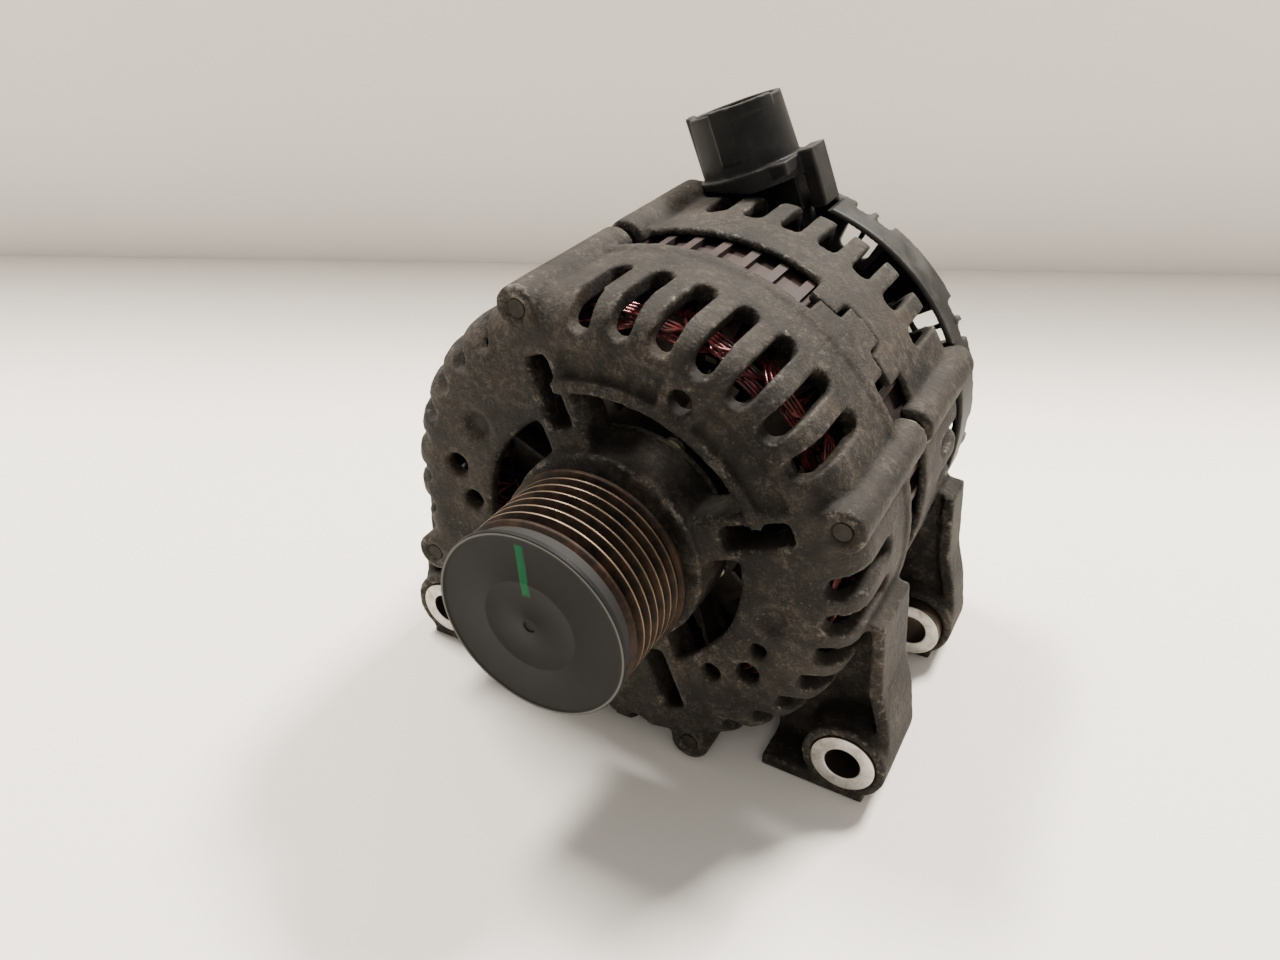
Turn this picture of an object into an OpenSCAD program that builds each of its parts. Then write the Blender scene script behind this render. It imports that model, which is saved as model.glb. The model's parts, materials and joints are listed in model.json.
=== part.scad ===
// Car alternator: claw-pole machine with two inner fans, a freewheeling belt pulley, four mounting
// lugs and a plastic rear cover with the voltage regulator and rectifier under it.
// Millimetres. The origin is on the shaft axis in the middle plane of the belt, +Y runs along the
// shaft towards the rear cover and +Z is up.
// Every piece is drawn in the case's own frame, where z runs along the shaft from the front face
// of the drive end bracket, y is up and angles count from +x towards y. in_case() places it.

/* [Case] */
// Outer radius of the drive end bracket
front_r = 72; // [71:0.25:72]
// Outer radius of the rear bracket
rear_r = 71; // [70.5:0.25:71]
// Depth of the drive end bracket, from its face to its rear edge
front_depth = 42.5; // [41:0.5:44]
// Distance from the face to the front edge of the rear bracket
rear_start = 62; // [61:0.5:64]
// Distance from the face to the outside of the rear bracket's end wall
rear_end = 104; // [103.5:0.5:104]
// Radius of the circle of the four through bolts
bolt_circle_r = 70.2; // [69.8:0.1:70.4]
// Angle of the first through bolt
bolt_angle = 22.3; // [21:0.1:24]
// Width of an air slot
slot_w = 6.3; // [5.5:0.1:6.6]
// Angle between neighbouring air slots
slot_pitch = 10; // [9.5:0.1:10]

/* [Mounting lugs] */
// Sideways distance from the shaft to a lug's bore
lug_x = 71.2; // [70.5:0.1:72]
// Drop from the shaft to the lug bores
lug_drop = 59.2; // [58.5:0.1:59.5]
// Drop from the shaft to the flat underside of the feet
foot_drop = 72.6; // [72.4:0.1:73]
// Outer radius of a mounting bush
bush_r = 9.75; // [9.5:0.05:10]
// Bore radius of a mounting bush
bush_bore_r = 5.25; // [5:0.05:5.5]

/* [Stator and rotor] */
// Outer radius of the stator core
core_r = 68.4; // [68.2:0.1:68.6]
// Length of the stator core
core_len = 38; // [36:1:38]
// Outer radius of the rotor's claw poles
rotor_r = 52.5; // [52.2:0.1:52.6]

/* [Pulley] */
// Number of belt grooves
grooves = 6; // [5:1:6]
// Radius over the pulley's rib tips
tip_r = 27.1; // [26.9:0.1:27.3]
// Radius of the plastic cap
cap_r = 27.75; // [27.5:0.05:28]

/* [Rear cover] */
// Outer radius of the rear cover
cover_r = 70; // [69.5:0.25:70]
// Front rim of the cover, from the face
cover_front = 107; // [106.5:0.5:107.5]
// Rear face of the cover, from the face
cover_back = 122; // [122:0.5:123]

/* [Connector] */
// Sideways offset of the connector's axis from the shaft, in the regulator's frame
plug_u = 19.7; // [19:0.1:20.5]
// Height of the connector's mouth above the shaft, in the regulator's frame
plug_top = 93.7; // [92:0.1:95]
// Outer radius of the connector at its mouth
plug_r = 15; // [14.5:0.1:15.5]

/* [Hidden] */
$fn = 96;

cast = [0.27, 0.25, 0.23];
steel = [0.62, 0.60, 0.57];
plastic = [0.10, 0.10, 0.11];
copper = [0.42, 0.16, 0.13];
belt_plane = -21.37;              // middle plane of the belt, from the face
rib_pitch = 3.56;                 // distance between neighbouring belt ribs
teeth = 48;                       // stator teeth, with one outer rib each
claws = 8;                        // claws on each claw pole
cut = 0.5;                        // overshoot of a cutting solid
bolt_r = 2.5;
boss_r = 6.2;
face_t = 4.5;                     // thickness of the bracket's face plate
shell_r = 66.5;                   // inside of both brackets' walls
core_z = 32;                      // front end of the stator core
core_end = core_z + core_len;
bore_r = rotor_r + 0.5;           // stator bore
corner_r = 61;                    // where the front bracket's face starts to round over
corner_d = 13;                    // depth of that rounding
rear_corner = 9;                  // rounding of the rear bracket
hub_r = 30;                       // front bearing hub
arm_half = 6.8;                   // half the width of a double-walled spoke
rim_h = 0.8;                      // raised rim at the front bracket's rear edge
tooth_step = 360 / teeth;
first_rib = belt_plane - grooves * rib_pitch / 2;
last_rib = belt_plane + grooves * rib_pitch / 2;
ring_bore = 19.7;                 // running bore of the pulley ring
hub_out = 15.5;                   // running surface of the pulley hub
ball_f = 4.75;                    // front bearing ball radius
pitch_f = 16;
balls_f = 7;
mid_f = 8;
ball_b = 3;                       // rear bearing ball radius
pitch_b = 12.5;
balls_b = 8;
mid_b = 97.5;
regulator_turn = bolt_angle;      // the regulator's frame is turned by this much
slip_z = [109.5, 116];            // middles of the two slip rings
slip_r = 7.3;
brush_h = 4.8;
plug_z = 110;
lead_a = [-2.7, -12.7, -22.7, -102.7, -112.7, -132.7];
lead_r = 60.4;
spacer_a = [bolt_angle, bolt_angle - 90, bolt_angle - 180];
spacer_r = 47;
post_a = [14, -76, -166];         // posts of the rear cover
post_r = 60;
ear_a = [67.3, 157.3];            // screws of the regulator and of the brush holder
ear_r = 53;
notch_a = [65, 30, -5, -95, -130, 155, 180];
wall_z = cover_back - 2.5;        // inside of the cover's back wall
rect_a0 = -163;                   // the rectifier plates span these angles
rect_a1 = 44;
stud_a = -40;                     // battery stud
stud_r = 45;
stud_core_r = 4.7;                // the stud shank, fuller than the threaded end above the nut

// ---- shared shapes ----

module in_case() translate([0, -belt_plane, 0]) rotate([90, 0, 0]) mirror([0, 0, 1]) children();

module tube(r_out, r_in, z0, z1) translate([0, 0, z0]) difference() {
    cylinder(r = r_out, h = z1 - z0);
    translate([0, 0, -cut]) cylinder(r = r_in, h = z1 - z0 + 2 * cut);
}

module rod(r, z0, z1) translate([0, 0, z0]) cylinder(r = r, h = z1 - z0);

module polar(r, a) rotate([0, 0, a]) translate([r, 0, 0]) children();

module bar(a, r0, r1, w, z0, z1) rotate([0, 0, a]) translate([r0, -w / 2, z0]) cube([r1 - r0, w, z1 - z0]);

module arc(r_out, r_in, a0, a1, z0, z1) translate([0, 0, z0]) rotate([0, 0, a0])
    rotate_extrude(angle = a1 - a0) translate([r_in, 0]) square([r_out - r_in, z1 - z0]);

module four() for (q = [0:3]) rotate([0, 0, bolt_angle + 90 * q]) children();

module pair() {
    children();
    mirror([1, 0, 0]) children();
}

module hexagon(r, z0, z1) translate([0, 0, z0]) cylinder(r = r, h = z1 - z0, $fn = 6);

module in_regulator() rotate([0, 0, regulator_turn]) children();

// One air slot on the +x ray. It cuts the flat wall from r0 outwards and the side wall up to z1.
module air_slot(r0, z0, z1, round_front) {
    h = slot_w / 2;
    a = round_front ? z0 : z0 + h;
    b = round_front ? z1 - h : z1;
    translate([r0 + h, -h, a]) cube([25, slot_w, b - a]);
    translate([r0 + h, 0, z0 + (round_front ? 0 : h)]) cylinder(r = h, h = z1 - z0 - h, $fn = 32);
    translate([r0 + h, 0, round_front ? b : a]) rotate([0, 90, 0]) cylinder(r = h, h = 25, $fn = 32);
}

module all_slots(r0, z0, z1, round_front) four() for (k = [-3:3])
    rotate([0, 0, 45 + k * slot_pitch]) air_slot(r0, z0, z1, round_front);

// ---- lugs shared by both brackets ----

module lug_outline() {
    translate([lug_x, -lug_drop]) circle(r = 12.7);
    polygon([[60, -8], [76, -10], [78.2, -33], [81.5, -44], [lug_x + 12.65, -lug_drop + 1],
        [lug_x, -foot_drop], [46.6, -foot_drop], [46.6, -48]]);
}

module lug_rim() polygon([[72.6, -10], [76, -10], [78.2, -33], [81.5, -44], [lug_x + 12.65, -lug_drop + 1],
    [lug_x + 10.5, -lug_drop + 1], [77.5, -44], [74.2, -33]]);

// z0 and z1 are the lug's ends; the web between the lug and the case lies against z_web.
module lug(z0, z1, web0, web1, seat_r) difference() {
    union() {
        translate([lug_x, -lug_drop, z0]) cylinder(r = 12.7, h = z1 - z0);
        translate([0, 0, web0]) linear_extrude(web1 - web0) lug_outline();
        translate([0, 0, min(z0 + 4, web0)]) linear_extrude(z1 - z0 - 4) lug_rim();
        translate([46.6, -foot_drop, z0]) cube([32, 4.4, z1 - z0]);
    }
    translate([lug_x, -lug_drop, z0 - cut]) cylinder(r = seat_r, h = z1 - z0 + 2 * cut);
    translate([0, 0, z0 - cut]) cylinder(r = front_r - 2, h = z1 - z0 + 2 * cut);
}

// ---- case ----

module front_skin() rotate_extrude() polygon(concat(
    [for (a = [0:15:90]) [corner_r + (front_r - corner_r) * sin(a), corner_d * (1 - cos(a))]],
    [[front_r, 38.2], [front_r + rim_h, 39], [front_r + rim_h, front_depth], [0, front_depth], [0, 0]]));

module front_cavity() rotate_extrude() polygon(concat(
    [[0, -1], [40, -1], [40, face_t]],
    [for (a = [0:15:90]) [corner_r - 1.5 + (shell_r - corner_r + 1.5) * sin(a),
        corner_d - (corner_d - face_t) * cos(a)]],
    [[shell_r, core_z], [core_r, core_z], [core_r, 62], [0, 62]]));

// Double-walled spoke with an open slot along its middle.
module spoke() {
    bar(0, 27, 61, 2 * arm_half, 0, 13);
    translate([61, 0, 0]) cylinder(r = arm_half, h = face_t);
}

module front_bracket() color(cast) in_case() difference() {
    union() {
        difference() {
            union() {
                front_skin();
                four() {
                    translate([bolt_circle_r, 0, 0]) rod(boss_r, 0, 52);
                    arc(front_r + rim_h - 0.2, core_r - 2, 16, 37, front_depth - 1, 50.5);
                    arc(front_r + 0.4, core_r - 2, 21.3, 31, 50, 58.6);
                }
            }
            front_cavity();
            all_slots(62.6, -cut, 27, true);
            rotate([0, 0, bolt_angle]) arc(46.5, 39, 0, 90, -1, face_t + 1);
            rotate([0, 0, bolt_angle]) arc(58.6, 50.2, 4, 86, -1, 1.4);
        }
        rotate([0, 0, bolt_angle]) arc(50.3, 46.4, 0, 90, -1.2, face_t - 0.1);
        four() spoke();
        rod(hub_r, -3, 15);
        polar(54.8, 67.5) rod(6.2, -0.6, face_t);
        pair() lug(10, 38, 23, 38, bush_r);
    }
    rod(23.5, 1, 16);
    rod(14.4, -4, 2);
    four() {
        bar(0, 36, 57, 6.6, -1, 14);
        translate([bolt_circle_r, 0, 0]) {
            rod(bolt_r, -1, 53);
            rod(3.7, -1, 0.8);
        }
        polar(26.7, 45) rod(1.9, 8, 16);
    }
    for (h = [[54.8, 67.5, 3.4], [52.3, 168, 3.5], [46.4, 180, 3.1], [52.3, -33.5, 3.5],
              [46.7, -45.8, 3.1], [50, -23, 2.5], [52.3, -102, 3.5], [46.4, -90, 3.1]])
        polar(h[0], h[1]) rod(h[2], -2, face_t + 1);
    for (a = [148, -8, -125]) polar(50, a) rod(4.2, -1, 1.5);
}

module rear_skin() rotate_extrude() polygon(concat(
    [[0, rear_start], [rear_r, rear_start]],
    [for (a = [0:15:90]) [rear_r - rear_corner * (1 - cos(a)), rear_end - rear_corner * (1 - sin(a))]],
    [[0, rear_end]]));

module rear_cavity() rotate_extrude() polygon(concat(
    [[0, 88], [23, 88], [25, 100]],
    [for (a = [90:-15:0]) [shell_r - 5 * (1 - cos(a)), 100 - 5 * (1 - sin(a))]],
    [[shell_r, core_end], [core_r, core_end], [core_r, 50], [0, 50]]));

module rear_bracket() color(cast) in_case() difference() {
    union() {
        difference() {
            union() {
                rear_skin();
                four() {
                    translate([bolt_circle_r, 0, 0]) rod(boss_r, 57, rear_end);
                    difference() {
                        arc(rear_r + 0.6, core_r - 2, 12.5, 39.5, 52.4, rear_start + 1);
                        arc(front_r + 4, core_r - 3, 20.2, 32.1, 50, 59.6);
                    }
                }
            }
            rear_cavity();
            all_slots(56, 79, rear_end + cut, false);
            for (k = [0:7]) rotate([0, 0, bolt_angle + 45 * k + 4]) arc(51, 28.5, 2, 35, 99, 105);
        }
        pair() lug(80, 98, 86, 98, bush_r + 0.1);
    }
    rod(18.5, 87, 103);
    rod(14, 100, rear_end + 1);
    four() translate([bolt_circle_r, 0, 0]) rod(bolt_r + 0.2, 50, rear_end + 1);
    for (a = spacer_a) polar(spacer_r, a) rod(2.5, 99, 105);
    for (a = post_a) polar(post_r, a) rod(2.5, 99, 105);
    for (a = ear_a) polar(ear_r, a) rod(1.6, 99, 105);
}

module through_bolts() color(steel) in_case() four() translate([bolt_circle_r, 0, 0]) {
    rod(bolt_r, 0.7, rear_end);
    difference() {
        rod(4.3, rear_end, rear_end + 4);
        hexagon(2.4, rear_end + 1.5, rear_end + 5);
    }
}

// Steel bush with a small chamfer at both ends of its bore.
module bush(z0, z1, r_out, r_in) translate([lug_x, -lug_drop, 0]) rotate_extrude() polygon([
    [r_in, z0 + 0.5], [r_in + 0.5, z0], [r_out - 0.4, z0], [r_out, z0 + 0.4],
    [r_out, z1 - 0.4], [r_out - 0.4, z1], [r_in + 0.5, z1], [r_in, z1 - 0.5]]);

module front_bush_right() color(steel) in_case() bush(9.6, 38.4, bush_r, bush_bore_r);
module front_bush_left() color(steel) in_case() mirror([1, 0, 0]) bush(9.6, 38.4, bush_r, bush_bore_r);
module rear_bush_right() color(steel) in_case() bush(76, 97.6, bush_r + 0.05, bush_bore_r);
module rear_bush_left() color(steel) in_case() mirror([1, 0, 0]) bush(76, 97.6, bush_r + 0.05, bush_bore_r);

// ---- stator ----

module stator_core() color([0.24, 0.17, 0.13]) in_case() translate([0, 0, core_z]) linear_extrude(core_len)
    difference() {
        circle(r = core_r);
        circle(r = bore_r);
        for (k = [0:teeth - 1]) rotate(k * tooth_step) {
            translate([54.8, -1.8]) square([9.2, 3.6]);
            translate([bore_r - 1, -0.8]) square([3, 1.6]);
            translate([core_r - 2, -3.1]) square([4, 6.2]);
        }
        for (q = [0:3]) rotate(bolt_angle + 90 * q) translate([bolt_circle_r, 0]) circle(r = 3.3);
    }

// One phase: a bar in every third slot and a rounded ring of end turns at each end of the core.
module winding_phase(first, r0, r1) color(copper) in_case() {
    for (k = [first:3:teeth - 1]) {
        bar(k * tooth_step, 55.9, 63.8, 3.2, core_z, core_end);
        bar(k * tooth_step, r0 + 0.3, r1 - 0.3, 3.2, core_z - 3, core_end + 3);
    }
    for (z0 = [13, core_end + 2]) tube(r1, r0, z0, z0 + 17);
}

module winding_phase_u() winding_phase(0, 56, 58.8);
module winding_phase_v() winding_phase(1, 59.1, 61.7);
module winding_phase_w() winding_phase(2, 62, 64.2);

module slot_wedges() color([0.80, 0.76, 0.60]) in_case() for (k = [0:teeth - 1])
    bar(k * tooth_step, 54.95, 55.7, 3.3, core_z - 1, core_end + 1);

// Six wires from the end turns to the terminal frame.
module winding_leads() color(copper) in_case() for (a = lead_a)
    polar(lead_r, a) rod(1.1, core_end + 19, 115.4);

// ---- rotor ----

module rotor_shaft() color(steel) in_case() difference() {
    rotate_extrude() polygon([[0, -31], [7.5, -31], [8, -30.5], [8, -8], [8.5, -8], [8.5, 18], [10, 18],
        [10, 84], [7.5, 86], [7.5, 104.6], [5, 104.6], [5, 120], [4.5, 120.5], [0, 120.5]]);
    translate([0, 0, -32]) cylinder(r = 4.2, h = 9, $fn = 12);
}

// Claw on the +x ray, pointing along +z, as seen in the plane that touches the rotor.
module claw() translate([0, 0, -cut]) rotate([0, 90, 0]) linear_extrude(rotor_r + 5)
    polygon([[cut, -8.6], [cut, 8.6], [-10, 8.2], [-37.5, 3.6], [-38.5, 2.6], [-38.5, -2.6],
        [-37.5, -3.6], [-10, -8.2]]);

// Claw pole with its plate at z = 0 and its claws pointing along +z.
module claw_pole() difference() {
    union() {
        rod(41.5, 0, 12);
        rod(20, 0, 21);
        intersection() {
            for (k = [0:claws - 1]) rotate([0, 0, 360 / claws * k]) claw();
            union() {
                tube(rotor_r, 40, 0, 12);
                tube(rotor_r, 45.2, 0, 38.5);
            }
        }
    }
    rod(10, -1, 22);
}

module front_claw_pole() color([0.35, 0.34, 0.33]) in_case() translate([0, 0, 30]) claw_pole();
module rear_claw_pole() color([0.35, 0.34, 0.33]) in_case() translate([0, 0, 72])
    mirror([0, 0, 1]) rotate([0, 0, 180 / claws]) claw_pole();

module coil_bobbin() color([0.70, 0.66, 0.52]) in_case() rotate_extrude() polygon([
    [20.1, 42.1], [43, 42.1], [43, 43.4], [21.6, 43.4], [21.6, 58.6], [43, 58.6], [43, 59.9], [20.1, 59.9]]);

module field_coil() color([0.55, 0.24, 0.14]) in_case() tube(41.5, 21.6, 43.4, 58.6);

// Sheet fan: z is its plate, dir its blowing side.
module fan(z, dir, blades, hole_r) difference() {
    union() {
        rod(40, min(z, z + dir * 1.4), max(z, z + dir * 1.4));
        for (k = [0:blades - 1]) rotate([0, 0, 360 / blades * k]) {
            translate([31, -5, min(z, z + dir * 1.4)]) cube([17, 10, 1.4]);
            translate([31, 4, min(z, z + dir * 9)]) rotate([0, 0, -9]) cube([19, 1.4, 9]);
        }
    }
    rod(hole_r, z - 12, z + 12);
}

module front_fan() color(steel) in_case() fan(30, -1, 11, 10);
module rear_fan() color(steel) in_case() fan(72, 1, 9, 10);

module slip_rings() color(copper) in_case() for (z = slip_z) tube(slip_r, 6.4, z - 2.5, z + 2.5);

module slip_ring_sleeve() color(plastic) in_case() {
    tube(6.4, 5, 104.7, 119.4);
    for (z = [[105, slip_z[0] - 2.5], [slip_z[0] + 2.5, slip_z[1] - 2.5], [slip_z[1] + 2.5, 119.4]])
        tube(7.6, 6.4, z[0], z[1]);
}

module shaft_spacer() color(steel) in_case() tube(13.4, 8.5, -8, 1);

// ---- ball bearings ----

module race(r_out, r_in, z0, z1, pitch, groove, mid) difference() {
    tube(r_out, r_in, z0, z1);
    rotate_extrude() translate([pitch, mid]) circle(r = groove);
}

module balls(n, pitch, r, mid) for (k = [0:n - 1])
    polar(pitch, 360 / n * k) translate([0, 0, mid]) sphere(r = r);

module crown_cage(n, pitch, r, mid, z1) difference() {
    tube(pitch + 1.4, pitch - 1.4, mid - 0.8, z1);
    balls(n, pitch, r + 0.12, mid);
}

module front_bearing_outer_ring() color(steel) in_case()
    race(23.5, 19.4, 1, 15, pitch_f, ball_f + 0.06, mid_f);
module front_bearing_inner_ring() color(steel) in_case()
    race(12.6, 8.5, 1, 15, pitch_f, ball_f + 0.06, mid_f);
module front_bearing_balls() color(steel) in_case() balls(balls_f, pitch_f, ball_f, mid_f);
module front_bearing_cage() color([0.2, 0.2, 0.2]) in_case()
    crown_cage(balls_f, pitch_f, ball_f, mid_f, 13.8);
module front_bearing_seals() color(plastic) in_case() for (z = [1.3, 14.1]) tube(19.4, 12.9, z, z + 0.6);

module rear_bearing_outer_ring() color(steel) in_case()
    race(17.5, 14.9, 92, 103, pitch_b, ball_b + 0.05, mid_b);
module rear_bearing_inner_ring() color(steel) in_case()
    race(10.1, 7.5, 92, 103, pitch_b, ball_b + 0.05, mid_b);
module rear_bearing_balls() color(steel) in_case() balls(balls_b, pitch_b, ball_b, mid_b);
module rear_bearing_cage() color([0.2, 0.2, 0.2]) in_case()
    crown_cage(balls_b, pitch_b, ball_b, mid_b, 101.8);
module rear_bearing_sleeve() color(plastic) in_case() tube(18.5, 17.5, 92, 103);

module bearing_retainer() color(steel) in_case() difference() {
    tube(29.4, 17, 15, 17);
    four() polar(26.7, 45) rod(2.1, 14, 18);
}

module retainer_screws() color(steel) in_case() four() polar(26.7, 45) {
    rod(1.9, 8.5, 17);
    difference() {
        rod(3.3, 17, 19);
        hexagon(1.5, 18, 20);
    }
}

// ---- pulley ----

module pulley_ring() color([0.36, 0.31, 0.27]) in_case() difference() {
    rotate_extrude() polygon(concat(
        [[ring_bore, -9], [ring_bore, -34.4], [20.8, -34.4], [20.8, -37.4], [25.6, -37.4], [26, -37],
         [26, first_rib - 1.6], [tip_r, first_rib - 0.5]],
        [for (k = [0:grooves - 1]) for (p = [[0.35, 0], [1.33, -2.9], [2.23, -2.9], [3.21, 0]])
            [tip_r + p[1], first_rib + k * rib_pitch + p[0]]],
        [[tip_r, last_rib + 0.6], [26.3, last_rib + 0.8], [28.4, last_rib + 1.2], [28.4, -8.4], [22, -8.4],
         [22, -9]]));
    for (a = [70, 250]) polar(26.4, a) translate([0, 0, -36]) rotate([0, 0, 45])
        cube([2, 2, 3.4], center = true);
}

module pulley_cap() color(plastic) in_case() difference() {
    rotate_extrude() polygon([[0, -39.1], [13, -39.1], [13.4, -38.9], [13.8, -39.1], [26.6, -39.1],
        [26.9, -39.35], [27.45, -39.35], [cap_r, -39.05], [cap_r, -37.9], [27.2, -37.4], [20.7, -37.4],
        [20.7, -34.6], [19.3, -34.6], [19.3, -37.4], [0, -37.4]]);
    translate([0, 0, -39.6]) cylinder(r = 1.6, h = 0.8);
}

module pulley_hub() color(steel) in_case() difference() {
    rotate_extrude() polygon([[8, -8], [8, -30.6], [9.6, -30.6], [9.6, -36], [hub_out, -36],
        [hub_out, -10], [16.8, -10], [16.8, -8]]);
    for (k = [0:10]) rotate([0, 0, 360 / 11 * k]) translate([9, -0.8, -37]) cube([1.4, 1.6, 6]);
}

module clutch_rollers() color(steel) in_case() for (k = [0:13])
    polar(17.6, 360 / 14 * k) rod(2.05, -26, -17);

module clutch_cage() color(plastic) in_case() difference() {
    tube(19.2, 16, -27.4, -15.6);
    for (k = [0:13]) polar(17.6, 360 / 14 * k) rod(2.15, -26.1, -16.9);
}

module pulley_bearings() color(steel) in_case() for (z = [[-33.6, -28], [-15, -10.2]])
    tube(ring_bore - 0.05, hub_out, z[0], z[1]);

// ---- rear cover and connector ----

// Pocket in the cover's rear edge, with two air openings in its floor.
module notch_block() arc(cover_r - 1, 53, -7.6, 7.6, cover_back - 6.4, wall_z + 1);

module notch_cut() {
    difference() {
        arc(cover_r + 2, 55, -5.6, 5.6, cover_back - 4.4, cover_back + 2);
        bar(0, cover_r - 2, cover_r + 0.6, 2.2, cover_back - 6, cover_back - 1);
    }
    for (s = [-3, 3]) rotate([0, 0, s]) translate([57, -2.4, cover_back - 7]) cube([8.5, 4.8, 4]);
}

module rear_cover() color(plastic) in_case() difference() {
    union() {
        tube(cover_r, cover_r - 2, cover_front, cover_back);
        rod(cover_r - 1, wall_z, wall_z + 2);
        rod(15.5, wall_z, wall_z + 6);
        for (a = post_a) polar(post_r, a) rod(6, 106, wall_z + 1);
        polar(stud_r, stud_a) rod(12, wall_z, 124.5);
        for (k = [0:4]) rotate([0, 0, 199 + 9 * k]) translate([20, -0.8, wall_z]) cube([43, 1.6, 2.9]);
        in_regulator() translate([-12, 20, wall_z]) cube([44, 34, 3]);
        for (a = notch_a) rotate([0, 0, a]) {
            notch_block();
            bar(0, cover_r - 2, cover_r + 0.6, 2.2, cover_back - 6, cover_back - 1);
        }
    }
    rod(12.5, 100, wall_z + 4.1);
    for (a = notch_a) rotate([0, 0, a]) notch_cut();
    for (k = [0:3]) rotate([0, 0, 203.5 + 9 * k]) translate([24, -1.6, wall_z - cut]) cube([36, 3.2, 4]);
    for (a = post_a) polar(post_r, a) rod(2.5, 100, cover_back + 4);
    polar(stud_r, stud_a) rod(8.2, 110, 126);
    four() translate([bolt_circle_r, 0, 0]) rod(5.2, 100, rear_end + 5.5);
    in_regulator() translate([1.6, 55, 100]) cube([42, 30, wall_z - 100]);
}

module cover_posts() color(steel) in_case() for (a = post_a) polar(post_r, a) {
    rod(2.5, 100, wall_z + 7);
    hexagon(4.4, rear_end, 106);
}

module cover_nuts() color(steel) in_case() for (a = post_a) polar(post_r, a) difference() {
    hexagon(4.6, wall_z + 2, wall_z + 6);
    rod(2.5, 110, 130);
}

// The connector points along +y of the regulator's frame.
module in_plug() in_regulator() translate([plug_u, 0, plug_z]) rotate([-90, 0, 0]) children();

module connector_housing() color(plastic) difference() {
    in_case() {
        in_plug() {
            difference() {
                union() {
                    translate([0, 0, 70]) cylinder(r1 = plug_r + 1, r2 = plug_r, h = plug_top - 70);
                    arc(plug_r + 0.5, plug_r - 3, 15, 84, plug_top - 3, plug_top + 0.6);
                    rotate([0, 0, 84]) translate([plug_r - 3, -3.2, 78]) cube([4, 6.4, plug_top - 77.2]);
                }
                translate([0, 0, 76]) cylinder(r = plug_r - 2, h = 22);
            }
            for (a = [150, 170]) rotate([0, 0, a]) translate([plug_r - 1.6, -1.1, 76])
                cube([2.4, 2.2, plug_top - 75.2]);
            translate([0, 0, 68]) cylinder(r = plug_r + 2.4, h = 6.2);
        }
        in_regulator() {
            translate([plug_u, 70, 97]) cube([17.2, 4.2, 22]);
            translate([36.9, 56.5, 107.4]) cube([5, 18.5, 11.4]);
            translate([4, 57, 107.6]) cube([30, 14, 9.6]);
        }
    }
    in_case() tube(rear_r + 1.3, 40, 90, 105.6);
    in_case() tube(cover_r + 0.3, 40, wall_z - 0.3, 130);
    in_case() four() translate([bolt_circle_r, 0, 0]) rod(5.2, 100, rear_end + 5.5);
}

module connector_pins() color(steel) in_case() in_plug()
    for (x = [-4.5, 4.5]) for (y = [-4, 4]) translate([x - 0.8, y - 0.4, 76]) cube([1.6, 0.8, 9]);

// ---- regulator and brushes ----

module regulator() color(plastic) in_case() difference() {
    in_regulator() union() {
        translate([8, 14.5, 105.5]) cube([25, 42, 10.5]);
        translate([30, 33.5, rear_end]) cube([11.5, 8, 2]);
    }
    polar(ear_r, ear_a[0]) rod(1.6, 100, 110);
    in_regulator() translate([29, 18, 110]) cylinder(r = 2.1, h = 10);
}

module regulator_heat_sink() color([0.6, 0.6, 0.6]) in_case() in_regulator() difference() {
    translate([8, 14.5, 116]) cube([25, 41, 1.3]);
    translate([29, 18, 110]) cylinder(r = 2.1, h = 12);
}

module regulator_screws() color(steel) in_case() {
    for (a = ear_a) polar(ear_r, a) {
        rod(1.6, 99.5, rear_end + 3);
        rod(3.2, rear_end + 2, rear_end + 3.6);
    }
    in_regulator() translate([29, 18, 0]) {
        rod(2.1, 110, 118);
        rod(3.6, 117.3, 118.5);
    }
}

module brush_holder() color([0.13, 0.12, 0.11]) in_case() difference() {
    in_regulator() union() {
        translate([-7, 9.2, 105]) cube([14.9, 36, 14]);
        translate([-41.5, 33.5, rear_end]) cube([36, 8, 2]);
    }
    in_regulator() for (z = slip_z) translate([-3.4, 5, z - brush_h / 2 - 0.1])
        cube([6.8, 36, brush_h + 0.2]);
    polar(ear_r, ear_a[1]) rod(1.6, 100, 110);
}

module brush(z) difference() {
    translate([-3.3, 5, z - brush_h / 2]) cube([6.6, 20, brush_h]);
    rod(slip_r + 0.05, z - 5, z + 5);
}

module front_brush() color([0.2, 0.19, 0.19]) in_case() in_regulator() brush(slip_z[0]);
module rear_brush() color([0.2, 0.19, 0.19]) in_case() in_regulator() brush(slip_z[1]);

module brush_springs() color(steel) in_case() in_regulator() for (z = slip_z)
    translate([0, 25, z]) rotate([-90, 0, 0]) tube(1.9, 1.4, 0, 16);

// ---- rectifier ----

module rectifier_holes() {
    for (a = spacer_a) polar(spacer_r, a) rod(2.5, 100, 120);
    for (a = post_a) polar(post_r, a) rod(7, 100, 120);
}

module negative_heat_sink() color([0.66, 0.66, 0.66]) in_case() difference() {
    arc(56.5, 26, rect_a0, rect_a1, rear_end, 106.4);
    rectifier_holes();
    for (a = [-10, -45, -110]) polar(44, a) rod(5, 100, 110);
}

module positive_heat_sink() color([0.66, 0.66, 0.66]) in_case() difference() {
    arc(56.5, 28, rect_a0, rect_a1, 111, 113.4);
    rectifier_holes();
    for (a = [0, -90, -135]) polar(40, a) rod(5, 105, 115);
    polar(stud_r, stud_a) rod(stud_core_r, 105, 115);
}

module diodes() color(steel) in_case() {
    for (a = [-10, -45, -110]) polar(44, a) rod(5, rear_end, 108.4);
    for (a = [0, -90, -135]) polar(40, a) rod(5, 109, 113.4);
}

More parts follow.
